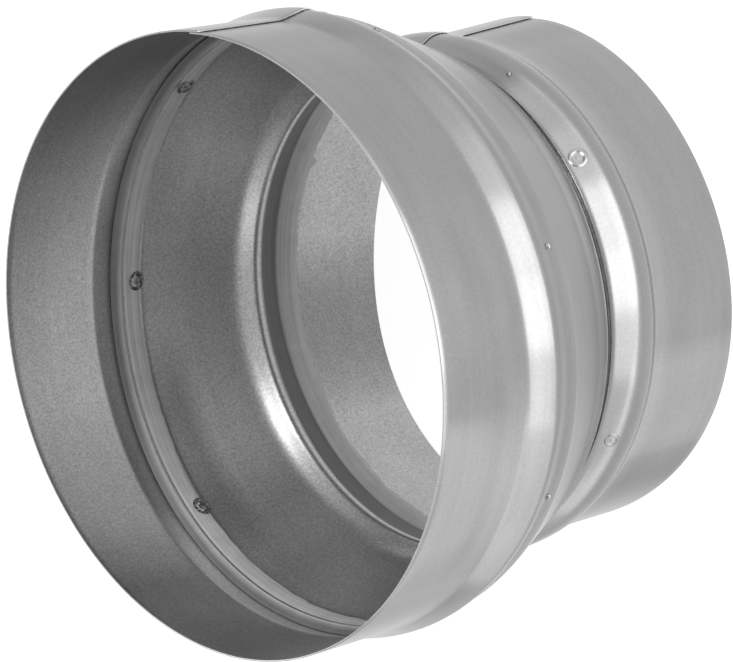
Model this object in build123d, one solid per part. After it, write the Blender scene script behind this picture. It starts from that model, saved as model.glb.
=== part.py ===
from build123d import *

import os
from math import atan2, cos, degrees, hypot, radians, sin

# Sizes in millimetres, angles in degrees. The axis is +Z and the small mouth is at z = 0.

# Sheet, and the way a strip is rolled into a collar
sheet = 0.4
fit_gap = 0.05
seam_angle = 15.0
lap_width = 3.0
lap_gap = 0.015
lap_run = 60.0

# Large collar: outside diameter, then lengths from the mouth down to the rear edge
large_diameter = 149.0
large_spigot = 27.0
large_bead_front = 8.5
large_bead_back = 4.5
large_flange = 2.0
large_bead_peak = 1.9
large_crest_radius = 4.0
large_front_foot_radius = 8.0
large_back_foot_radius = 1.5

# Ring between the two collars
ring_exposed = 28.5
ring_overlap = 5.0
ring_shoulder = 1.3
shoulder_radius = 3.0
dish_run = 4.8
dish_swell = 1.4
dish_radius = 10.0
throat_setback = 2.3
throat_radius = 2.4
lip_overlap = 4.0

# Small collar: outside diameter, drop of the front edge below it, then lengths from that edge to the mouth
small_diameter = 124.0
small_edge_drop = 2.0
small_bead_front = 7.0
small_bead_back = 4.5
small_spigot = 27.0
small_bead_peak = 2.5
small_crest_radius = 3.0
small_foot_radius = 4.0

# Sealant smeared over the ring's two edges
seal_thickness = 0.3
large_seal_climb = 1.0
large_seal_run = 5.4
small_seal_climb = 3.2
small_seal_dip = 0.7
small_seal_run = 2.0

# Heights that follow from the sizes
small_foot_z = small_spigot
small_peak_z = small_foot_z + small_bead_back
small_edge_z = small_peak_z + small_bead_front
large_edge_z = small_edge_z + ring_exposed
large_foot_z = large_edge_z + large_flange
large_peak_z = large_foot_z + large_bead_back
large_bead_z = large_peak_z + large_bead_front
large_mouth_z = large_bead_z + large_spigot
ring_edge_z = large_edge_z + ring_overlap
shoulder_z = large_edge_z - ring_shoulder
throat_z = small_edge_z + throat_setback
lip_end_z = small_edge_z - lip_overlap

# Radii that follow from the sizes
large_radius = large_diameter / 2
large_peak_radius = large_radius + large_bead_peak
small_radius = small_diameter / 2
small_peak_radius = small_radius + small_bead_peak
small_edge_radius = small_radius - small_edge_drop
flange_radius = large_radius - sheet - fit_gap
flange_bore = flange_radius - sheet
small_bore = small_radius - sheet

# Slopes of the beads' flanks. The ring's lip lies against the small collar's front flank.
flank_fall = (small_peak_radius - small_edge_radius) / small_bead_front
flank_stretch = hypot(1.0, flank_fall)
large_steepest = large_bead_peak / min(large_bead_front, large_bead_back)
small_steepest = max(flank_fall, small_bead_peak / small_bead_back)


def flank_radius(z, depth):
    """Radius, at height z, of the line that lies a depth inside the small collar's front flank."""
    return small_edge_radius + (small_edge_z - z) * flank_fall - depth * flank_stretch


def sheet_section(points, radii):
    """Section of a formed sheet: a filleted outside line, read upwards, with the sheet on its inside."""
    outside = FilletPolyline(*points, radius=radii)
    return Plane.XZ * make_face(offset(outside, amount=sheet, side=Side.LEFT).edges())


def rolled_collar(section, radius, steepest):
    """Strip rolled into a ring, its outer end springing clear of the inner end where the two lap."""
    lap = degrees(lap_width / radius)
    clear = sheet * hypot(1.0, steepest) + lap_gap
    spring = clear / (1 - cos(radians(lap_run - lap)))
    leaves_round = Rot(0, 0, seam_angle + lap_run)
    start = leaves_round * section
    outer_axis = Axis((leaves_round * Pos(-spring, 0, 0)).position, (0, 0, 1))
    round_part = revolve(start, Axis.Z, 360 - lap_run + lap)
    outer_end = revolve(start, outer_axis, -lap_run)
    return round_part + outer_end


def sealant_bead(outline, surface, collar_section):
    """Ring of sealant: the area inside its outline and its bare surface that the collar leaves free."""
    area = make_face(outline.edges() + surface.edges())
    free = Plane.XZ * area - collar_section
    return revolve(free.faces().sort_by(Axis.X)[0], Axis.Z)


# Large collar
large_section = sheet_section(
    [
        (large_radius, large_edge_z),
        (large_radius, large_foot_z),
        (large_peak_radius, large_peak_z),
        (large_radius, large_bead_z),
        (large_radius, large_mouth_z),
    ],
    [large_back_foot_radius, large_crest_radius, large_front_foot_radius],
)
large_collar = rolled_collar(large_section, large_radius, large_steepest)

# Small collar
small_section = sheet_section(
    [
        (small_radius, 0),
        (small_radius, small_foot_z),
        (small_peak_radius, small_peak_z),
        (small_edge_radius, small_edge_z),
    ],
    [small_foot_radius, small_crest_radius],
)
small_collar = rolled_collar(small_section, small_radius, small_steepest)

# Pressed ring: a lip under the small collar's flank, the throat, a cone dished next to it and a flange in the
# large collar
lip_depth = sheet + fit_gap
throat_corner = (flank_radius(throat_z, lip_depth), throat_z)
ring_slope = atan2(flange_radius - throat_corner[0], shoulder_z - throat_z)
dish_corner = (
    throat_corner[0] + dish_run * sin(ring_slope) + dish_swell * cos(ring_slope),
    throat_corner[1] + dish_run * cos(ring_slope) - dish_swell * sin(ring_slope),
)
ring_section = sheet_section(
    [
        (flank_radius(lip_end_z, lip_depth), lip_end_z),
        throat_corner,
        dish_corner,
        (flange_radius, shoulder_z),
        (flange_radius, ring_edge_z),
    ],
    [throat_radius, dish_radius, shoulder_radius],
)
reducing_ring = revolve(ring_section, Axis.Z)

# Sealant in the large bead, over the ring's flange
large_seal_top = (large_peak_radius, large_peak_z + large_seal_climb)
large_seal_end = (flange_bore, ring_edge_z - large_seal_run)
large_seal_outline = Polyline(
    large_seal_end,
    (flange_bore, ring_edge_z),
    (large_peak_radius + sheet, ring_edge_z),
    (large_peak_radius + sheet, large_seal_top[1]),
    large_seal_top,
)
large_seal_surface = ThreePointArc(large_seal_top, (flange_bore - seal_thickness, ring_edge_z), large_seal_end)
large_joint_sealant = sealant_bead(large_seal_outline, large_seal_surface, large_section)

# Sealant in the small bead, over the ring's lip and a little way down the collar's wall
lip_inside_z = lip_end_z - sheet * flank_fall / flank_stretch
seal_depth = lip_depth + sheet
lip_corner = (flank_radius(lip_inside_z, seal_depth), lip_inside_z)
small_seal_top_z = lip_inside_z + small_seal_climb
small_seal_top = (flank_radius(small_seal_top_z, seal_depth), small_seal_top_z)
small_seal_end_z = small_foot_z - small_seal_run
across = small_peak_radius + sheet - lip_corner[0]
small_seal_outline = Polyline(
    small_seal_top,
    lip_corner,
    (lip_corner[0] + across, lip_corner[1] + across * flank_fall),
    (small_peak_radius + sheet, small_seal_end_z),
    (small_bore, small_seal_end_z),
)
small_seal_surface = Polyline(
    small_seal_top,
    (small_bore + small_seal_dip, small_peak_z),
    (small_bore - seal_thickness, small_foot_z),
    (small_bore, small_seal_end_z),
)
small_joint_sealant = sealant_bead(small_seal_outline, small_seal_surface, small_section)

os.makedirs("parts", exist_ok=True)
export_step(large_collar, "parts/large_collar.step")
export_step(reducing_ring, "parts/reducing_ring.step")
export_step(small_collar, "parts/small_collar.step")
export_step(large_joint_sealant, "parts/large_joint_sealant.step")
export_step(small_joint_sealant, "parts/small_joint_sealant.step")
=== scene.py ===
"""Duct reducer: two rolled collars, a pressed ring and smeared sealant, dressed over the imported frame."""
import logging
import math
from dataclasses import dataclass, replace
from enum import Enum
from typing import Callable, Iterable, Sequence

import bpy
from mathutils import Matrix, Quaternion, Vector, noise


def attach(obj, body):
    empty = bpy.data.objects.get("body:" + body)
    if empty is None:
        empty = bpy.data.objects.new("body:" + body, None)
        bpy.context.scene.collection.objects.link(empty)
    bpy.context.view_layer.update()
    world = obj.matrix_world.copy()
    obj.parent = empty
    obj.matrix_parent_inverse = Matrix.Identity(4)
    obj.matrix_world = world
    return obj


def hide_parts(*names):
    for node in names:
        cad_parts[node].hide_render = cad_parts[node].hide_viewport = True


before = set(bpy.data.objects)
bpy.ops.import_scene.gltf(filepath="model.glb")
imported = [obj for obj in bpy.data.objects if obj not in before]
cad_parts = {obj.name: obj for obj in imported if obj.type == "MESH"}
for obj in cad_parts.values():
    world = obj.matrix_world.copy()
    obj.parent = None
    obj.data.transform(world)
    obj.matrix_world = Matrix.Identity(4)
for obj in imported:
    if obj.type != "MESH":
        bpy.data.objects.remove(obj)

Piece = bpy.types.Object
Socket = bpy.types.NodeSocket
Pair = tuple[float, float]
Triple = tuple[float, float, float]

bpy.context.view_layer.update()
LOG = logging.getLogger("duct_reducer")

# Sizes that all pieces share: lengths in millimetres, angles in degrees
MM = 0.001
FULL_TURN = 360.0
SEAM = 15.0
SEAM_GAP = 0.02
SHEET = 0.4
FIT_GAP = 0.05
EDGE_BREAK = 0.07

# Fineness of the meshes: steps round the axis and round a weld, largest turn between two points of a bend,
# and the angles from which an edge counts as cut or as sharp
STEPS = 360
WELD_STEPS = 36
BEND_STEP = 7.0
CUT_ANGLE = 60.0
SHARP_ANGLE = 40.0

# Distances within which points are merged: in a section, and where a full turn closes
SAME_POINT = 0.001
SAME_PLACE = 0.005

# The middle part of a noise's range, where nearly all its values lie
NOISE_RANGE = (0.3, 0.7)


class Way(Enum):
    """Directions in which a surface can be pressed."""

    NORMAL = "NORMAL"
    ALONG_X = "X"
    ALONG_Y = "Y"
    ALONG_AXIS = "Z"


@dataclass(frozen=True)
class Corner:
    """Corner of a section, in millimetres: radius from the axis, height above the small mouth and bend."""

    radius: float
    height: float
    bend: float = 0.0

    def point(self) -> Vector:
        """The corner as a point of the section plane, in metres."""
        return Vector((self.radius, 0.0, self.height)) * MM


def angle_from_seam(place: Vector) -> float:
    """Angle of a point about the axis, counted from the lap seam.

    Args:
        place: a point of the part.

    Returns:
        Degrees from 0 to 360, with the outer end of a strip at 0 and its inner end just short of 360.
    """
    angle = math.degrees(math.atan2(place.y, place.x)) - SEAM
    return (angle + SEAM_GAP / 2) % FULL_TURN - SEAM_GAP / 2


def angle_between(first: float, second: float) -> float:
    """Signed difference of two angles, in degrees from -180 to 180."""
    return (first - second + FULL_TURN / 2) % FULL_TURN - FULL_TURN / 2


def rounded_corner(before: Vector, corner: Corner, after: Vector) -> list[Vector]:
    """Points of the bend at one corner.

    Args:
        before: the point ahead of the corner.
        corner: the corner, with its bend radius.
        after: the point behind the corner.

    Returns:
        The corner itself where it is sharp, and the points of an arc where it is bent.
    """
    tip = corner.point()
    if corner.bend == 0.0:
        return [tip]
    inward = (tip - before).normalized()
    onward = (after - tip).normalized()
    turn = inward.angle(onward)
    radius = corner.bend * MM
    start = tip - inward * radius * math.tan(turn / 2)
    side = (onward - inward * inward.dot(onward)).normalized()
    centre = start + side * radius
    count = max(3, math.ceil(math.degrees(turn) / BEND_STEP))
    points = []
    for index in range(count + 1):
        swing = turn * index / count
        points.append(centre - side * radius * math.cos(swing) + inward * radius * math.sin(swing))
    return points


def section_line(corners: Sequence[Corner], row: float = 2.0) -> list[Vector]:
    """Points along a section, close enough together to be pressed into shape later.

    Args:
        corners: the corners of the section, in order.
        row: largest distance between two points, in millimetres.

    Returns:
        Points of the section plane, in metres.
    """
    bends = [corners[0].point()]
    for index in range(1, len(corners) - 1):
        bends += rounded_corner(corners[index - 1].point(), corners[index], corners[index + 1].point())
    bends.append(corners[-1].point())
    line = [bends[0]]
    for start, end in zip(bends, bends[1:]):
        pieces = max(1, math.ceil((end - start).length / (row * MM)))
        line += [start.lerp(end, (index + 1) / pieces) for index in range(pieces)]
    return line


def deselect_everything() -> None:
    """Leaves edit mode and clears the selection."""
    if bpy.context.object and bpy.context.object.mode != "OBJECT":
        bpy.ops.object.mode_set(mode="OBJECT")
    bpy.ops.object.select_all(action="DESELECT")


def take_up(piece: Piece) -> None:
    """Selects one piece alone and makes it the active one.

    Args:
        piece: the piece to work on.
    """
    deselect_everything()
    piece.select_set(True)
    bpy.context.view_layer.objects.active = piece


def pick_vertices(piece: Piece, wanted: Callable[[Vector], bool]) -> None:
    """Enters edit mode with the wanted vertices selected.

    Args:
        piece: the piece to edit.
        wanted: tells from its place whether a vertex is selected.
    """
    take_up(piece)
    bpy.ops.object.mode_set(mode="EDIT")
    bpy.ops.mesh.select_mode(type="VERT")
    bpy.ops.mesh.select_all(action="DESELECT")
    bpy.ops.object.mode_set(mode="OBJECT")
    for vertex in piece.data.vertices:
        vertex.select = wanted(vertex.co)
    bpy.ops.object.mode_set(mode="EDIT")


def spin_selected(sweep: float, steps: int) -> None:
    """Spins what is selected in edit mode about the duct axis, counter-clockwise and in degrees."""
    bpy.ops.mesh.spin(steps=steps, angle=math.radians(sweep), center=(0, 0, 0), axis=(0, 0, -1))


def spun_sheet(name: str, line: Sequence[Vector], sweep: float, closed: bool) -> Piece:
    """Draws a section at the seam from one vertex, by extruding it, and spins it about the axis.

    Args:
        name: name of the new piece.
        line: points of the section, in metres.
        sweep: angle that the section is spun through, in degrees.
        closed: whether the section closes on itself.

    Returns:
        The piece, as a surface without thickness.
    """
    deselect_everything()
    bpy.ops.mesh.primitive_plane_add(size=MM, location=(0, 0, 0))
    piece = bpy.context.object
    piece.name = piece.data.name = name
    turn = Matrix.Rotation(math.radians(SEAM), 3, "Z")
    points = [turn @ point for point in line]
    bpy.ops.object.mode_set(mode="EDIT")
    bpy.ops.mesh.select_all(action="SELECT")
    bpy.ops.mesh.merge(type="CENTER")
    bpy.ops.transform.translate(value=points[0])
    for before, after in zip(points, points[1:]):
        bpy.ops.mesh.extrude_region_move(TRANSFORM_OT_translate={"value": after - before})
    if closed:
        bpy.ops.mesh.extrude_region_move(TRANSFORM_OT_translate={"value": points[0] - points[-1]})
    bpy.ops.mesh.select_all(action="SELECT")
    bpy.ops.mesh.remove_doubles(threshold=SAME_POINT * MM)
    spin_selected(sweep, STEPS)
    bpy.ops.mesh.select_all(action="SELECT")
    if sweep == FULL_TURN:
        bpy.ops.mesh.remove_doubles(threshold=SAME_PLACE * MM)
    bpy.ops.mesh.normals_make_consistent(inside=False)
    bpy.ops.object.mode_set(mode="OBJECT")
    return piece


def press(piece: Piece, way: Way, depth: Callable[[Vector], float]) -> None:
    """Moves a surface by an amount that depends on the place.

    Args:
        piece: the piece to press.
        way: the direction of the move.
        depth: signed move, in millimetres, for a point of the piece.
    """
    take_up(piece)
    moves = [depth(vertex.co) for vertex in piece.data.vertices]
    for sign in (1.0, -1.0):
        reach = max(sign * move for move in moves)
        if reach <= 0.0:
            continue
        group = piece.vertex_groups.new(name="pressed")
        for index, move in enumerate(moves):
            if sign * move > 0.0:
                group.add([index], sign * move / reach, "REPLACE")
        modifier = piece.modifiers.new("press", "DISPLACE")
        modifier.direction = way.value
        modifier.mid_level = 0.0
        modifier.strength = sign * reach * MM
        modifier.vertex_group = group.name
        bpy.ops.object.modifier_apply(modifier=modifier.name)
        piece.vertex_groups.clear()


def give_thickness(piece: Piece) -> None:
    """Thickens a surface to the inside by the sheet, with its second material on the cut edges.

    Args:
        piece: a surface without thickness.
    """
    take_up(piece)
    modifier = piece.modifiers.new("sheet", "SOLIDIFY")
    modifier.thickness = SHEET * MM
    modifier.offset = -1.0
    modifier.use_even_offset = True
    modifier.use_quality_normals = True
    modifier.material_offset_rim = 1
    bpy.ops.object.modifier_apply(modifier=modifier.name)


def smooth(piece: Piece) -> None:
    """Shades a piece smooth across all but its sharp edges."""
    take_up(piece)
    bpy.ops.object.shade_smooth_by_angle(angle=math.radians(SHARP_ANGLE))


def break_edges(piece: Piece) -> None:
    """Rounds the cut edges of a sheet a little, and smooths the rest.

    Args:
        piece: a sheet with its thickness.
    """
    take_up(piece)
    modifier = piece.modifiers.new("edges", "BEVEL")
    modifier.width = EDGE_BREAK * MM
    modifier.segments = 2
    modifier.limit_method = "ANGLE"
    modifier.angle_limit = math.radians(CUT_ANGLE)
    bpy.ops.object.modifier_apply(modifier=modifier.name)
    smooth(piece)


def join_to(piece: Piece, marks: Iterable[Piece]) -> None:
    """Joins small marks to the piece that carries them.

    Args:
        piece: the piece that stays.
        marks: the marks, which become part of it.
    """
    take_up(piece)
    for mark in marks:
        mark.select_set(True)
    bpy.context.view_layer.objects.active = piece
    bpy.ops.object.join()


def settle(piece: Piece, node: str) -> None:
    """Puts a finished piece in the place of its CAD node.

    Args:
        piece: the finished piece.
        node: the CAD node that it stands for.
    """
    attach(piece, "root")
    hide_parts(node)
    LOG.info("%s: %d faces", piece.name, len(piece.data.polygons))


@dataclass(frozen=True)
class Level:
    """How far the sheet is out of true at a height: a lean, an oval and three lobes. All in millimetres."""

    height: float
    lean: Pair = (0.0, 0.0)
    oval: Pair = (0.0, 0.0)
    lobes: Pair = (0.0, 0.0)

    def move(self, angle: float) -> Vector:
        """Sideways move of the wall.

        Args:
            angle: the place about the axis, in radians.

        Returns:
            The move across the axis, in millimetres.
        """
        swell = self.oval[0] * math.cos(2 * angle) + self.oval[1] * math.sin(2 * angle)
        swell += self.lobes[0] * math.cos(3 * angle) + self.lobes[1] * math.sin(3 * angle)
        return Vector((self.lean[0] + swell * math.cos(angle), self.lean[1] + swell * math.sin(angle)))


@dataclass(frozen=True)
class OutOfTrue:
    """Slight bends of the thin sheet between a few levels, listed upwards."""

    levels: tuple[Level, ...]

    def move(self, place: Vector) -> Vector:
        """Sideways move of a point of the part.

        Args:
            place: the point.

        Returns:
            The move across the axis, in millimetres.
        """
        angle = math.atan2(place.y, place.x)
        height = place.z / MM
        for below, above in zip(self.levels, self.levels[1:]):
            if height <= above.height:
                share = max(0.0, (height - below.height) / (above.height - below.height))
                return below.move(angle).lerp(above.move(angle), share)
        return self.levels[-1].move(angle)

    def bend(self, piece: Piece) -> None:
        """Bends a piece of the part."""
        press(piece, Way.ALONG_X, lambda place: self.move(place).x)
        press(piece, Way.ALONG_Y, lambda place: self.move(place).y)


class Shader:
    """The nodes of a material or a world under construction."""

    def __init__(self, owner: bpy.types.Material | bpy.types.World) -> None:
        """Leaves nothing but an output in the owner's node tree.

        Args:
            owner: the material or world.
        """
        owner.use_nodes = True
        self.owner = owner
        self.tree = owner.node_tree
        self.tree.nodes.clear()
        kind = "ShaderNodeOutputWorld" if isinstance(owner, bpy.types.World) else "ShaderNodeOutputMaterial"
        self.output = self.add(kind)

    def feed(self, socket: Socket, value: object) -> None:
        """Sets an input to a value, or links it to another socket.

        Args:
            socket: the input.
            value: a plain value, or the socket to link.
        """
        if isinstance(value, Socket):
            self.tree.links.new(value, socket)
        else:
            socket.default_value = value

    def add(self, kind: str, **inputs: object) -> bpy.types.Node:
        """Adds a node.

        Args:
            kind: Blender's name of the node type.
            inputs: values or sockets for its inputs, with underscores for the spaces in their names.

        Returns:
            The new node.
        """
        node = self.tree.nodes.new(kind)
        for key, value in inputs.items():
            self.feed(node.inputs[key.replace("_", " ")], value)
        return node

    def surface(self, socket: Socket) -> None:
        """Links a closure to the output."""
        self.feed(self.output.inputs["Surface"], socket)

    def body(self, tone: Socket, **inputs: object) -> None:
        """Gives the material a grey body.

        Args:
            tone: the grey.
            inputs: other inputs of the body, as for a node.
        """
        grey = self.add("ShaderNodeCombineColor", Red=tone, Green=tone, Blue=tone)
        body = self.add("ShaderNodeBsdfPrincipled", Base_Color=grey.outputs["Color"], **inputs)
        self.surface(body.outputs["BSDF"])

    def step(self, kind: str, operation: str, first: object, second: object) -> bpy.types.Node:
        """Adds a step of arithmetic.

        Args:
            kind: Blender's name of the node type.
            operation: Blender's name of the operation.
            first: the first value or socket.
            second: the second value or socket.

        Returns:
            The new node.
        """
        node = self.tree.nodes.new(kind)
        node.operation = operation
        self.feed(node.inputs[0], first)
        self.feed(node.inputs[1], second)
        return node

    def math(self, operation: str, first: object, second: object) -> Socket:
        """Adds a step with numbers and returns its result."""
        return self.step("ShaderNodeMath", operation, first, second).outputs[0]

    def vector(self, operation: str, first: object, second: object) -> bpy.types.Node:
        """Adds a step with vectors and returns its node."""
        return self.step("ShaderNodeVectorMath", operation, first, second)

    def span(self, value: Socket, source: Pair, target: Pair) -> Socket:
        """Maps a value from one range to another.

        Args:
            value: the value.
            source: the ends of its range.
            target: the ends of the new range.

        Returns:
            The mapped value, held within the new range.
        """
        node = self.add("ShaderNodeMapRange", Value=value)
        node.inputs["From Min"].default_value, node.inputs["From Max"].default_value = source
        node.inputs["To Min"].default_value, node.inputs["To Max"].default_value = target
        return node.outputs["Result"]

    def place(self, scale: Triple) -> Socket:
        """Adds the piece's own coordinates, in metres.

        Args:
            scale: what they are stretched by.

        Returns:
            The stretched place.
        """
        coordinates = self.add("ShaderNodeTexCoord")
        mapping = self.add("ShaderNodeMapping", Vector=coordinates.outputs["Object"], Scale=scale)
        return mapping.outputs["Vector"]

    def grain(self, scale: Triple, detail: float) -> Socket:
        """Adds a soft noise and returns its value."""
        node = self.add("ShaderNodeTexNoise", Vector=self.place(scale), Scale=1.0, Detail=detail)
        return node.outputs["Fac"]

    def mottle(self, scale: Triple, detail: float, depth: float) -> Socket:
        """Adds a soft noise that swings by a depth to both sides of 0."""
        return self.span(self.grain(scale, detail), NOISE_RANGE, (-depth, depth))

    def height(self) -> Socket:
        """Adds the height above the small mouth, in metres."""
        return self.add("ShaderNodeSeparateXYZ", Vector=self.place((1.0, 1.0, 1.0))).outputs["Z"]

    def faces_axis(self) -> Socket:
        """Adds a test of which way a surface faces.

        Returns:
            1 where it faces the duct axis, and 0 elsewhere.
        """
        normal = self.add("ShaderNodeNewGeometry").outputs["Normal"]
        dot = self.vector("DOT_PRODUCT", self.place((1.0, 1.0, 0.0)), normal)
        return self.math("LESS_THAN", dot.outputs["Value"], 0.0)

    def towards(self, angle: float) -> Socket:
        """Adds a measure of how far round the axis a place is.

        Args:
            angle: where to measure from, in degrees.

        Returns:
            The cosine of the turn between that angle and the place.
        """
        sideways = self.vector("NORMALIZE", self.place((1.0, 1.0, 0.0)), (0.0, 0.0, 0.0))
        turn = math.radians(angle)
        dot = self.vector("DOT_PRODUCT", sideways.outputs["Vector"], (math.cos(turn), math.sin(turn), 0.0))
        return dot.outputs["Value"]


@dataclass(frozen=True)
class PaintedLightPatch:
    """Area of a finish painted darker or lighter than the rest, as painted shade and painted reflections, set
    by comparing tones with the photograph.

    It lies between two heights, with a fade beyond them, and between angles that reach from a middle to both
    sides, with an ease beyond them. Heights are in millimetres and angles in degrees. A patch without angles
    goes right round. Within it, the tone is multiplied by its share.
    """

    low: float
    high: float
    fade: float
    share: float
    middle: float = 0.0
    reach: float = FULL_TURN / 2
    ease: float = 0.0

    def factor(self, shader: Shader, where: object) -> Socket:
        """Adds the factor for the tone.

        Args:
            shader: the material under construction.
            where: a value of 1 where the patch counts, and 0 elsewhere.

        Returns:
            The patch's share within it, and 1 outside.
        """
        height = shader.height()
        above = shader.span(height, ((self.low - self.fade) * MM, self.low * MM), (0.0, 1.0))
        below = shader.span(height, (self.high * MM, (self.high + self.fade) * MM), (1.0, 0.0))
        within = shader.math("MULTIPLY", shader.math("MULTIPLY", above, below), where)
        if self.reach < FULL_TURN / 2:
            outer = math.cos(math.radians(self.reach + self.ease))
            inner = math.cos(math.radians(self.reach))
            near = shader.span(shader.towards(self.middle), (outer, inner), (0.0, 1.0))
            within = shader.math("MULTIPLY", within, near)
        return shader.span(within, (0.0, 1.0), (1.0, self.share))


def with_painted_light(shader: Shader, tone: Socket, painted_light_patches: Iterable[PaintedLightPatch], where: object = 1.0) -> Socket:
    """Lays patches of painted shade and painted reflection over a tone.

    Args:
        shader: the material under construction.
        tone: the bare tone.
        painted_light_patches: the patches of painted shade and painted reflection.
        where: a value of 1 where they count, and 0 elsewhere.

    Returns:
        The tone with its patches.
    """
    for patch in painted_light_patches:
        tone = shader.math("MULTIPLY", tone, patch.factor(shader, where))
    return tone


@dataclass(frozen=True)
class ZincFinish:
    """Galvanised sheet, smooth outside, matt and grainy in the bore, whose tone is painted lighter than the
    outside as painted light.
    """

    name: str
    tone: float = 0.25
    roughness: float = 0.22
    rim: float = 0.94
    grain: float = 0.06
    # The bore is painted lighter than the outside of the same sheet: painted light inside the duct
    bore_tone_painted_lighter: float = 0.40
    bore_roughness: float = 0.33
    bore_grain: float = 0.26
    clouds: float = 0.04
    streaks: float = 0.03
    grain_scale: Triple = (1800.0, 1800.0, 1800.0)
    cloud_scale: Triple = (45.0, 45.0, 90.0)
    streak_scale: Triple = (9.0, 9.0, 450.0)
    # Painted shade and painted reflections in the bore, sector by sector
    bore_painted_light_patches: tuple[PaintedLightPatch, ...] = (
        # Hollow of the large bead: painted shade, with two sectors of painted reflection
        PaintedLightPatch(73.0, 80.7, 0.9, 0.5, middle=113.0, reach=22.0, ease=22.0),
        PaintedLightPatch(73.0, 80.7, 0.9, 1.3, middle=56.0, reach=10.0, ease=14.0),
        PaintedLightPatch(73.0, 80.7, 0.9, 2.2, middle=176.0, reach=12.0, ease=18.0),
        # Wall of the large collar: a sector of painted reflection and a sector of painted shade
        PaintedLightPatch(81.0, 110.0, 2.0, 1.75, middle=196.0, reach=14.0, ease=18.0),
        PaintedLightPatch(81.0, 110.0, 2.0, 0.8, middle=148.0, reach=6.0, ease=20.0),
        # Ring: sectors of painted shade and painted reflection
        PaintedLightPatch(45.0, 65.0, 3.0, 0.78, middle=75.0, reach=5.0, ease=14.0),
        PaintedLightPatch(61.0, 67.0, 5.0, 0.57, middle=138.0, reach=10.0, ease=15.0),
        PaintedLightPatch(45.0, 66.0, 3.0, 1.25, middle=180.0, reach=15.0, ease=10.0),
        # Wall of the small collar: painted shade for a dark reflection
        PaintedLightPatch(-1.0, 26.0, 1.0, 0.6, middle=119.0, reach=4.0, ease=18.0),
    )
    # Painted reflections and painted shade on the outside
    painted_light_patches: tuple[PaintedLightPatch, ...] = (
        # Dish and wall of the ring: painted reflection over the dish and wall, painted shade in two sectors
        PaintedLightPatch(40.5, 49.0, 1.5, 1.5),
        PaintedLightPatch(53.0, 66.0, 4.0, 1.1),
        PaintedLightPatch(50.0, 62.0, 4.0, 0.6, middle=348.0, reach=8.0, ease=14.0),
        PaintedLightPatch(50.0, 62.0, 4.0, 0.7, middle=252.0, reach=5.0, ease=10.0),
        # Wall of the small collar, and the foot of its bead: painted reflection, with sectors of painted
        # shade
        PaintedLightPatch(-1.0, 26.0, 8.0, 1.18),
        PaintedLightPatch(24.0, 28.0, 4.0, 1.15),
        PaintedLightPatch(-1.0, 24.0, 6.0, 1.2, middle=264.0, reach=9.0, ease=6.0),
        PaintedLightPatch(-1.0, 30.0, 4.0, 0.6, middle=231.0, reach=8.0, ease=12.0),
        PaintedLightPatch(-1.0, 30.0, 4.0, 0.8, middle=SEAM, reach=8.0, ease=10.0),
        # Wall of the large collar, and the foot of its bead: painted reflection at the foot, with sectors of
        # painted shade
        PaintedLightPatch(78.0, 86.0, 4.0, 1.15, middle=264.0, reach=14.0, ease=8.0),
        PaintedLightPatch(80.0, 110.0, 4.0, 0.72, middle=226.0, reach=5.0, ease=8.0),
        PaintedLightPatch(80.0, 110.0, 4.0, 0.75, middle=SEAM, reach=8.0, ease=10.0),
    )

    def material(self) -> bpy.types.Material:
        """Makes the finish as a material.

        Returns:
            The material.
        """
        shader = Shader(bpy.data.materials.new(self.name))
        inside = shader.faces_axis()
        outside = shader.math("SUBTRACT", 1.0, inside)
        fine = shader.span(shader.grain(self.grain_scale, 2.0), (0.25, 0.75), (-1.0, 1.0))
        cloud = shader.mottle(self.cloud_scale, 3.0, self.clouds)
        streak = shader.mottle(self.streak_scale, 2.0, self.streaks)
        grain = shader.span(inside, (0.0, 1.0), (self.grain, self.bore_grain))
        broad = shader.math("ADD", shader.math("ADD", cloud, streak), 1.0)
        shade = shader.math("ADD", shader.math("MULTIPLY", fine, grain), broad)
        # Lighter tone in the bore than outside: painted light
        tone = shader.math("MULTIPLY", shade, shader.span(inside, (0.0, 1.0), (self.tone, self.bore_tone_painted_lighter)))
        # Lays the painted shade and painted reflections over the bore and the outside
        tone = with_painted_light(shader, tone, self.bore_painted_light_patches, inside)
        tone = with_painted_light(shader, tone, self.painted_light_patches, outside)
        rough = shader.span(inside, (0.0, 1.0), (self.roughness, self.bore_roughness))
        rim = (self.rim, self.rim, self.rim, 1.0)
        shader.body(tone, Metallic=1.0, Roughness=rough, Specular_Tint=rim)
        return shader.owner


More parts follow.
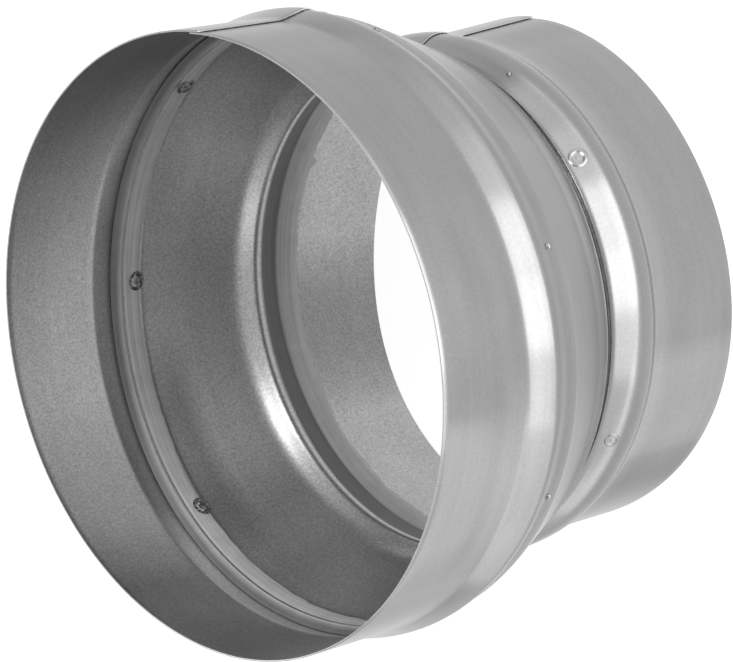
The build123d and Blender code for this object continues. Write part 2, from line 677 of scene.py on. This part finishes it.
@dataclass(frozen=True)
class SealantFinish:
    """Grey sealant with a dull sheen and the marks of the brush that spread it, with painted shade in the
    hollows and painted reflections.
    """

    name: str
    tone: float = 0.60
    sheen: float = 0.45
    roughness: float = 0.50
    streaks: float = 0.14
    blotches: float = 0.06
    streak_scale: Triple = (25.0, 25.0, 1400.0)
    blotch_scale: Triple = (220.0, 220.0, 220.0)
    # Painted shade in the hollows and painted reflections on the ring's flange
    painted_light_patches: tuple[PaintedLightPatch, ...] = (
        # Small joint: the collar's wall and the hollow of its bead, painted darker as painted shade, the
        # hollow most
        PaintedLightPatch(20.0, 30.4, 0.5, 0.74),
        PaintedLightPatch(31.4, 38.5, 1.0, 0.2),
        # Large joint: painted shade in the hollow of the bead, and sectors of painted shade and painted
        # reflection on the ring's flange
        PaintedLightPatch(73.2, 75.0, 1.6, 0.3),
        PaintedLightPatch(64.0, 76.0, 1.0, 0.68, middle=84.0, reach=38.0, ease=22.0),
        PaintedLightPatch(64.0, 76.0, 1.0, 1.25, middle=170.0, reach=12.0, ease=15.0),
    )

    def material(self) -> bpy.types.Material:
        """Makes the finish as a material.

        Returns:
            The material.
        """
        shader = Shader(bpy.data.materials.new(self.name))
        streak = shader.mottle(self.streak_scale, 3.0, self.streaks)
        blotch = shader.mottle(self.blotch_scale, 2.0, self.blotches)
        shade = shader.math("ADD", shader.math("ADD", streak, blotch), 1.0)
        # Lays the painted shade and painted reflections over the sealant
        tone = with_painted_light(shader, shader.math("MULTIPLY", shade, self.tone), self.painted_light_patches)
        shader.body(tone, Metallic=self.sheen, Roughness=self.roughness)
        return shader.owner


@dataclass(frozen=True)
class BurntFinish:
    """Zinc burnt dark and rough by a spot weld."""

    name: str
    tones: Pair = (0.04, 0.32)
    roughness: float = 0.5
    speck_scale: Triple = (1500.0, 1500.0, 1500.0)

    def material(self) -> bpy.types.Material:
        """Makes the finish as a material.

        Returns:
            The material.
        """
        shader = Shader(bpy.data.materials.new(self.name))
        tone = shader.span(shader.grain(self.speck_scale, 3.0), (0.35, 0.65), self.tones)
        shader.body(tone, Metallic=1.0, Roughness=self.roughness)
        return shader.owner


class Mark(Enum):
    """Kinds of spot weld."""

    CRATER = "crater"
    BUMP = "bump"
    RING = "ring"


@dataclass(frozen=True)
class Weld:
    """Spot weld, pressed into a disc that lies on its sheet.

    Lengths are in millimetres and angles in degrees. The tilt is from level towards the large mouth. The disc
    is uneven within a share of its radius, with a noise of the given fineness.
    """

    mark: Mark
    angle: float
    radius: float
    height: float
    tilt: float
    size: float
    inward: bool = False
    uneven_share: float = 0.97
    fineness: float = 1600.0

    def steps(self) -> tuple[Pair, ...]:
        """Insets of the disc from its edge to its middle.

        Returns:
            For each inset, a share of the disc's radius and a lift in millimetres.
        """
        if self.mark is Mark.CRATER:
            return (0.10, 0.18), (0.12, 0.08), (0.16, -0.36), (0.16, -0.12), (0.16, 0.16), (0.14, 0.08)
        if self.mark is Mark.BUMP:
            return (0.14, 0.30), (0.18, 0.24), (0.22, 0.14), (0.24, 0.04)
        rim = (0.10, 0.10), (0.10, 0.08), (0.14, -0.03)
        middle = (0.12, -0.12), (0.16, -0.06), (0.14, 0.05), (0.12, 0.05)
        return rim + middle

    def unevenness(self, place: Vector) -> float:
        """Roughness of the mark, which leaves its edge alone.

        Args:
            place: a point of the disc, before it is laid on its sheet.

        Returns:
            The point's move along the disc's normal, in millimetres.
        """
        if place.xy.length >= self.uneven_share * self.size / 2 * MM:
            return 0.0
        depth = 0.28 if self.mark is Mark.CRATER else 0.02
        return depth * noise.noise(place * self.fineness + Vector((self.angle, 0.0, 0.0)))

    def lay(self, disc: Piece) -> None:
        """Lays the disc on its sheet.

        Args:
            disc: the finished disc, flat about the origin.
        """
        around = math.radians(self.angle)
        above = math.radians(self.tilt)
        facing = -1.0 if self.inward else 1.0
        outward = Vector((math.cos(around), math.sin(around), 0.0))
        normal = outward * facing * math.cos(above) + Vector((0.0, 0.0, math.sin(above)))
        disc.rotation_mode = "QUATERNION"
        disc.rotation_quaternion = normal.to_track_quat("Z", "Y")
        disc.location = (outward * self.radius + Vector((0.0, 0.0, self.height))) * MM
        take_up(disc)
        bpy.ops.object.transform_apply(location=True, rotation=True, scale=True)

    def build(self) -> Piece:
        """Presses the mark into a disc and lays it on its sheet.

        Returns:
            The disc.
        """
        deselect_everything()
        radius = self.size / 2 * MM
        bpy.ops.mesh.primitive_circle_add(vertices=WELD_STEPS, radius=radius, fill_type="NGON")
        disc = bpy.context.object
        disc.name = f"weld_{self.mark.value}"
        bpy.ops.object.mode_set(mode="EDIT")
        bpy.ops.mesh.select_all(action="SELECT")
        for share, lift in self.steps():
            bpy.ops.mesh.inset(thickness=share * radius, depth=lift * MM)
        bpy.ops.mesh.poke()
        bpy.ops.object.mode_set(mode="OBJECT")
        press(disc, Way.ALONG_AXIS, self.unevenness)
        self.lay(disc)
        bpy.ops.object.shade_smooth_by_angle(angle=math.radians(CUT_ANGLE))
        return disc


@dataclass(frozen=True)
class SheetLook:
    """Materials of a sheet: its faces, its cut edges and its burnt welds."""

    zinc: bpy.types.Material
    edge: bpy.types.Material
    burnt: bpy.types.Material


@dataclass
class SheetPiece:
    """Piece made of sheet metal, with the spot welds that it carries."""

    name: str
    node: str
    corners: Sequence[Corner]
    shape: OutOfTrue
    welds: Sequence[Weld] = ()

    def finish(self, piece: Piece, look: SheetLook) -> None:
        """Thickens and dresses the sheet, adds its welds, bends it all and puts it in its place.

        Args:
            piece: the sheet, as a surface without thickness.
            look: its materials.
        """
        piece.data.materials.append(look.zinc)
        piece.data.materials.append(look.edge)
        give_thickness(piece)
        break_edges(piece)
        marks = [weld.build() for weld in self.welds]
        for weld, mark in zip(self.welds, marks):
            mark.data.materials.append(look.burnt if weld.mark is Mark.CRATER else look.zinc)
        if marks:
            join_to(piece, marks)
        self.shape.bend(piece)
        settle(piece, self.node)


@dataclass
class RolledCollar(SheetPiece):
    """Strip rolled into a ring whose ends lap.

    Lengths are in millimetres and angles in degrees. The rolls leave a ripple, with one fineness round the
    strip and one along the axis. Points within an end's reach of the seam make up the inner end.
    """

    lap_width: float = 3.0
    lap_gap: float = 0.09
    lap_run: float = 60.0
    lap_steps: int = 3
    end_reach: float = 0.5
    ripple: float = 0.02
    round_fineness: float = 9.0
    axial_fineness: float = 20.0

    def spring(self, place: Vector) -> float:
        """Distance by which the outer end of the strip stands off the round.

        Args:
            place: a point of the strip.

        Returns:
            The distance in millimetres, which is 0 where the strip lies on the round.
        """
        run = math.radians(self.lap_run)
        left = run - math.radians(angle_from_seam(place))
        if left <= 0.0:
            return 0.0
        return (SHEET + self.lap_gap) * (1 - math.cos(left)) / (1 - math.cos(run))

    def waviness(self, place: Vector) -> float:
        """Faint unevenness left by the rolls, in millimetres."""
        along = place.xy.normalized() * self.round_fineness
        return self.ripple * noise.noise(Vector((along.x, along.y, place.z * self.axial_fineness)))

    def build(self, look: SheetLook) -> None:
        """Spins, laps and dresses the strip.

        Args:
            look: its materials.
        """
        piece = spun_sheet(self.name, section_line(self.corners), FULL_TURN - SEAM_GAP, closed=False)
        press(piece, Way.NORMAL, self.spring)
        pick_vertices(piece, lambda place: angle_from_seam(place) > FULL_TURN - self.end_reach)
        spin_selected(math.degrees(self.lap_width / self.corners[0].radius), self.lap_steps)
        bpy.ops.mesh.select_all(action="SELECT")
        bpy.ops.mesh.normals_make_consistent(inside=False)
        bpy.ops.object.mode_set(mode="OBJECT")
        press(piece, Way.NORMAL, self.waviness)
        self.finish(piece, look)


@dataclass
class PressedRing(SheetPiece):
    """Dished ring with a flange in the large collar and a lip in the small one. Lengths in millimetres."""

    row: float = 1.5

    def build(self, look: SheetLook) -> None:
        """Spins and dresses the ring."""
        piece = spun_sheet(self.name, section_line(self.corners, self.row), FULL_TURN, closed=False)
        self.finish(piece, look)


@dataclass
class SealantBead:
    """Ring of sealant with a free edge that wanders along the axis.

    Lengths are in millimetres and angles in degrees. The section ends where it starts. Points within a fade
    of the free edge's height follow the edge, which wanders in waves, each with a fineness and a share. At
    one angle the edge may be pulled out into a tongue.
    """

    name: str
    node: str
    corners: Sequence[Corner]
    shape: OutOfTrue
    edge: float
    fade: float
    wander: float
    tongue: float = 0.0
    tongue_angle: float = 78.0
    tongue_width: float = 1.2
    waves: tuple[Pair, ...] = ((4.0, 0.7), (22.0, 0.5), (60.0, 0.35))
    row: float = 0.8

    def raggedness(self, place: Vector) -> float:
        """Move of a point near the free edge.

        Args:
            place: a point of the sealant.

        Returns:
            The move along the axis, in millimetres.
        """
        near = max(0.0, 1.0 - abs(place.z / MM - self.edge) / self.fade)
        along = place.xy.normalized()
        sway = 0.0
        for layer, (fineness, share) in enumerate(self.waves):
            sway += share * noise.noise(Vector((along.x * fineness, along.y * fineness, 3.0 * layer)))
        from_tongue = angle_between(math.degrees(math.atan2(place.y, place.x)), self.tongue_angle)
        pulled = self.tongue * math.exp(-((from_tongue / self.tongue_width) ** 2))
        return near * (self.wander * sway - pulled)

    def build(self, sealant: bpy.types.Material) -> None:
        """Spins the section, lets its edge wander and dresses it.

        Args:
            sealant: its material.
        """
        piece = spun_sheet(self.name, section_line(self.corners, self.row)[:-1], FULL_TURN, closed=True)
        press(piece, Way.ALONG_AXIS, self.raggedness)
        self.shape.bend(piece)
        smooth(piece)
        piece.data.materials.append(sealant)
        settle(piece, self.node)


@dataclass
class DuctReducer:
    """The whole fitting. Lengths in millimetres, with heights from the small mouth, and angles in degrees."""

    # Large collar
    large_radius: float = 74.5
    large_mouth: float = 109.0
    large_bead_end: float = 82.0
    large_bead_crest: float = 73.5
    large_bead_peak: float = 1.9
    large_bead_foot: float = 69.0
    large_edge: float = 67.0

    # Ring
    ring_edge: float = 72.0
    ring_shoulder: float = 65.7
    ring_throat: float = 39.8
    ring_lip: float = 35.0
    dish_run: float = 4.8
    dish_swell: float = 1.4

    # Small collar
    small_radius: float = 62.0
    small_edge: float = 39.3
    small_edge_drop: float = 1.2
    small_bead_crest: float = 31.5
    small_bead_peak: float = 3.3
    small_bead_foot: float = 25.8

    # Welds between the large collar and the ring: a bump outside and a crater inside at each angle
    weld_angles: tuple[float, ...] = (1.1, 57.3, 101.8, 148.3, 203.0, 258.0, 304.4)
    bump_height: float = 68.2
    bump_size: float = 2.0
    bump_sink: float = 0.25
    crater_heights: tuple[float, ...] = (68.2, 69.0, 67.9, 67.6, 68.2, 68.2, 68.2)
    crater_size: float = 4.8
    crater_rise: float = 0.62

    # Welds between the small collar and the ring: mark, angle, height and size
    small_weld_sink: float = 0.03
    small_welds: tuple[tuple[Mark, float, float, float], ...] = (
        (Mark.RING, 322.8, 36.4, 4.8),
        (Mark.RING, 257.8, 35.8, 3.8),
        (Mark.RING, 195.0, 36.0, 4.2),
        (Mark.RING, 131.0, 36.0, 4.2),
        (Mark.RING, 67.0, 36.0, 4.2),
        (Mark.BUMP, 349.2, 35.7, 1.4),
    )

    shape: OutOfTrue = OutOfTrue(
        (
            Level(0.0, lean=(0.86, -0.53), oval=(0.99, -0.67), lobes=(0.20, 1.28)),
            Level(31.5, lean=(0.44, 0.24), oval=(-0.27, -0.42)),
            Level(36.0),
            Level(41.0),
            Level(66.0, lean=(-1.16, 0.56), oval=(-0.58, -0.36), lobes=(-0.09, 0.73)),
            Level(78.0, lean=(-1.16, 0.56), oval=(-0.58, -0.36), lobes=(-0.09, 0.73)),
            Level(109.0, oval=(-0.99, 0.64)),
        )
    )

    def flank_fall(self) -> float:
        """Fall of the small collar's front flank across the axis, for each millimetre along it."""
        return (self.small_bead_peak + self.small_edge_drop) / (self.small_edge - self.small_bead_crest)

    def flank(self, height: float, depth: float) -> float:
        """Radius of a line that lies inside the small collar's front flank.

        Args:
            height: the height on that line.
            depth: how far inside the flank it lies.

        Returns:
            The radius in millimetres.
        """
        fall = self.flank_fall()
        edge = self.small_radius - self.small_edge_drop
        return edge + (self.small_edge - height) * fall - depth * math.hypot(1.0, fall)

    def large_collar(self) -> RolledCollar:
        """The collar of the large mouth, with the bumps of the welds on its rear edge.

        Returns:
            The collar, ready to build.
        """
        radius = self.large_radius
        corners = [
            Corner(radius, self.large_edge),
            Corner(radius, self.large_bead_foot, bend=1.5),
            Corner(radius + self.large_bead_peak, self.large_bead_crest, bend=4.0),
            Corner(radius, self.large_bead_end, bend=8.0),
            Corner(radius, self.large_mouth),
        ]
        welds = [
            Weld(Mark.BUMP, angle, radius - self.bump_sink, self.bump_height, tilt=0.0, size=self.bump_size)
            for angle in self.weld_angles
        ]
        return RolledCollar("large_collar_sheet", "large_collar", corners, self.shape, welds)

    def small_collar(self) -> RolledCollar:
        """The collar of the small mouth, with the marks of the welds on its flank.

        Returns:
            The collar, ready to build.
        """
        radius = self.small_radius
        corners = [
            Corner(radius, 0.0),
            Corner(radius, self.small_bead_foot, bend=7.0),
            Corner(radius + self.small_bead_peak, self.small_bead_crest, bend=8.0),
            Corner(radius - self.small_edge_drop, self.small_edge),
        ]
        facing = math.degrees(math.atan(self.flank_fall()))
        welds = [
            Weld(mark, angle, self.flank(height, self.small_weld_sink), height, facing, size)
            for mark, angle, height, size in self.small_welds
        ]
        return RolledCollar("small_collar_sheet", "small_collar", corners, self.shape, welds)

    def ring(self) -> PressedRing:
        """The ring between the collars, with the burnt craters of the welds on its flange.

        Returns:
            The ring, ready to build.
        """
        depth = SHEET + FIT_GAP
        flange = self.large_radius - depth
        lip = Corner(self.flank(self.ring_lip, depth), self.ring_lip)
        throat = Corner(self.flank(self.ring_throat, depth), self.ring_throat, bend=1.8)
        shoulder = Corner(flange, self.ring_shoulder, bend=3.0)
        slope = math.atan2(shoulder.radius - throat.radius, shoulder.height - throat.height)
        dish = Corner(
            throat.radius + self.dish_run * math.sin(slope) + self.dish_swell * math.cos(slope),
            throat.height + self.dish_run * math.cos(slope) - self.dish_swell * math.sin(slope),
            bend=10.0,
        )
        corners = [lip, throat, dish, shoulder, Corner(flange, self.ring_edge)]
        radius = flange - SHEET - self.crater_rise
        welds = [
            Weld(Mark.CRATER, angle, radius, height, tilt=0.0, size=self.crater_size, inward=True)
            for angle, height in zip(self.weld_angles, self.crater_heights)
        ]
        return PressedRing("reducing_ring_sheet", "reducing_ring", corners, self.shape, welds)

    def large_sealant(self) -> SealantBead:
        """The sealant over the ring's flange and in the hollow of the large bead.

        Returns:
            The sealant, ready to build.
        """
        bore = self.large_radius - 2 * SHEET - FIT_GAP
        back = bore + FIT_GAP
        over = self.ring_edge + FIT_GAP
        free_edge = Corner(bore - 0.1, 66.2)
        corners = [
            free_edge,
            Corner(back, self.large_edge),
            Corner(back, over),
            Corner(75.2, over),
            Corner(75.6, 73.0),
            Corner(75.7, 74.1),
            Corner(74.6, 72.9, bend=2.5),
            Corner(bore - 0.6, 70.4, bend=4.0),
            Corner(bore - 0.5, 68.0, bend=3.0),
            free_edge,
        ]
        return SealantBead(
            "large_sealant_smear",
            "large_joint_sealant",
            corners,
            self.shape,
            edge=free_edge.height,
            fade=1.2,
            wander=0.9,
        )

    def small_sealant(self) -> SealantBead:
        """The sealant over the ring's lip, in the hollow of the small bead and on the collar's wall.

        Returns:
            The sealant, ready to build.
        """
        lip = 2 * SHEET + FIT_GAP
        bore = self.small_radius - SHEET
        top = Corner(self.flank(37.6, lip) + FIT_GAP, 37.6)
        free_edge = Corner(bore - 0.25, 25.0)
        corners = [
            top,
            Corner(self.flank(34.7, lip) + FIT_GAP, 34.7),
            Corner(self.flank(34.0, 2 * SHEET), 34.3),
            Corner(63.3, 31.6),
            Corner(bore + 0.3, 27.5),
            Corner(bore + 0.05, 25.4),
            free_edge,
            Corner(bore - 0.32, 27.0, bend=3.0),
            Corner(bore + 0.7, self.small_bead_crest, bend=0.7),
            top,
        ]
        return SealantBead(
            "small_sealant_smear",
            "small_joint_sealant",
            corners,
            self.shape,
            edge=free_edge.height,
            fade=3.5,
            wander=1.6,
            tongue=2.4,
        )

    def build(self) -> None:
        """Builds and dresses every piece."""
        look = SheetLook(
            zinc=ZincFinish("galvanised sheet").material(),
            edge=ZincFinish("cut edge", tone=0.6, bore_tone_painted_lighter=0.6).material(),
            burnt=BurntFinish("burnt zinc").material(),
        )
        sealant = SealantFinish("smeared sealant").material()
        for part in (self.large_collar(), self.ring(), self.small_collar()):
            part.build(look)
        for bead in (self.large_sealant(), self.small_sealant()):
            bead.build(sealant)


@dataclass(frozen=True)
class Softbox:
    """Soft light that faces the duct axis. Angles in degrees, lengths in millimetres, power in watts."""

    name: str
    azimuth: float
    elevation: float
    power: float
    distance: float = 900.0
    wide: float = 260.0
    tall: float = 260.0
    lift: float = 58.0

    def hang(self) -> None:
        """Puts the light in its place, out of the camera's sight."""
        around = math.radians(self.azimuth)
        above = math.radians(self.elevation)
        level = math.cos(above)
        away = Vector((math.sin(around) * level, -math.cos(around) * level, math.sin(above)))
        data = bpy.data.lights.new(self.name, "AREA")
        data.shape = "RECTANGLE"
        data.size = self.wide * MM
        data.size_y = self.tall * MM
        data.energy = self.power
        lamp = bpy.data.objects.new(self.name, data)
        bpy.context.scene.collection.objects.link(lamp)
        lamp.location = (away * self.distance + Vector((0.0, 0.0, self.lift))) * MM
        lamp.rotation_mode = "QUATERNION"
        lamp.rotation_quaternion = (-away).to_track_quat("-Z", "Y")
        lamp.visible_camera = False


@dataclass(frozen=True)
class Studio:
    """Camera, white floor and lights. Lengths in millimetres, angles in degrees, powers in watts."""

    eye: Triple = (457.695, -835.998, 939.325)
    aim: Triple = (-4.803, 1.193, 58.155)
    roll: float = -102.474
    focal: float = 266.769
    sensor: float = 36.0
    floor_size: float = 8000.0
    floor_drop: float = 0.02
    floor_tone: float = 0.3
    floor_glow: float = 0.88
    ambient: float = 0.82
    softboxes: tuple[Softbox, ...] = (
        Softbox("right softbox", azimuth=68.0, elevation=43.0, power=1.6),
        Softbox("left softbox", azimuth=-29.0, elevation=40.0, power=0.36),
        Softbox("low strip", -35.0, 0.0, 0.015, distance=150.0, wide=170.0, tall=40.0, lift=20.0),
    )
    strip: Softbox = Softbox("strip light", 0.0, 0.0, 0.0, distance=250.0, wide=100.0, tall=120.0, lift=60.0)
    strip_start: float = -70.0
    strip_step: float = 23.0
    strip_powers: tuple[float, ...] = (0.020, 0.024, 0.032, 0.070, 0.138, 0.118, 0.046, 0.030)

    def camera(self) -> None:
        """Puts the camera at the photograph's viewing angle."""
        data = bpy.data.cameras.new("camera")
        data.lens = self.focal
        data.sensor_width = self.sensor
        camera = bpy.data.objects.new("camera", data)
        bpy.context.scene.collection.objects.link(camera)
        eye = Vector(self.eye) * MM
        look = Vector(self.aim) * MM - eye
        level = look.to_track_quat("-Z", "Y")
        camera.rotation_mode = "QUATERNION"
        camera.location = eye
        camera.rotation_quaternion = level @ Quaternion((0.0, 0.0, 1.0), math.radians(self.roll))
        bpy.context.scene.camera = camera

    def seen(self, shader: Shader) -> Socket:
        """Adds a test of what a ray is for.

        Args:
            shader: the material under construction.

        Returns:
            1 for what the eye, a gloss or a clear body shows, and 0 for what only lights the part.
        """
        path = shader.add("ShaderNodeLightPath")
        direct = shader.math("MAXIMUM", path.outputs["Is Camera Ray"], path.outputs["Is Glossy Ray"])
        return shader.math("MAXIMUM", direct, path.outputs["Is Transmission Ray"])

    def floor(self) -> None:
        """Lays a white floor that keeps a faint shadow."""
        deselect_everything()
        bpy.ops.mesh.primitive_plane_add(size=self.floor_size * MM, location=(0, 0, -self.floor_drop * MM))
        floor = bpy.context.object
        floor.name = "floor"
        shader = Shader(bpy.data.materials.new("white floor"))
        grey = (self.floor_tone, self.floor_tone, self.floor_tone, 1.0)
        matt = shader.add("ShaderNodeBsdfDiffuse", Color=grey)
        strength = shader.math("MULTIPLY", self.seen(shader), self.floor_glow)
        glow = shader.add("ShaderNodeEmission", Color=(1.0, 1.0, 1.0, 1.0), Strength=strength)
        both = shader.add("ShaderNodeAddShader")
        shader.feed(both.inputs[0], matt.outputs["BSDF"])
        shader.feed(both.inputs[1], glow.outputs["Emission"])
        shader.surface(both.outputs["Shader"])
        floor.data.materials.append(shader.owner)

    def surroundings(self) -> None:
        """Makes the studio white where the camera sees it, and softly lit elsewhere."""
        world = bpy.data.worlds.new("studio")
        bpy.context.scene.world = world
        shader = Shader(world)
        path = shader.add("ShaderNodeLightPath")
        level = shader.span(path.outputs["Is Camera Ray"], (0.0, 1.0), (self.ambient, 1.0))
        sky = shader.add("ShaderNodeBackground", Color=(1.0, 1.0, 1.0, 1.0), Strength=level)
        shader.surface(sky.outputs["Background"])

    def lights(self) -> None:
        """Hangs the softboxes, and a row of strip lights round the near side."""
        for softbox in self.softboxes:
            softbox.hang()
        for index, power in enumerate(self.strip_powers):
            azimuth = self.strip_start + index * self.strip_step
            replace(self.strip, azimuth=azimuth, power=power).hang()

    def build(self) -> None:
        """Sets up the whole studio."""
        self.camera()
        self.floor()
        self.surroundings()
        self.lights()
        bpy.context.scene.view_settings.view_transform = "Standard"


def main() -> None:
    """Builds the part and its studio."""
    logging.basicConfig(level=logging.INFO, format="%(message)s")
    DuctReducer().build()
    Studio().build()


if __name__ == "__main__":
    main()
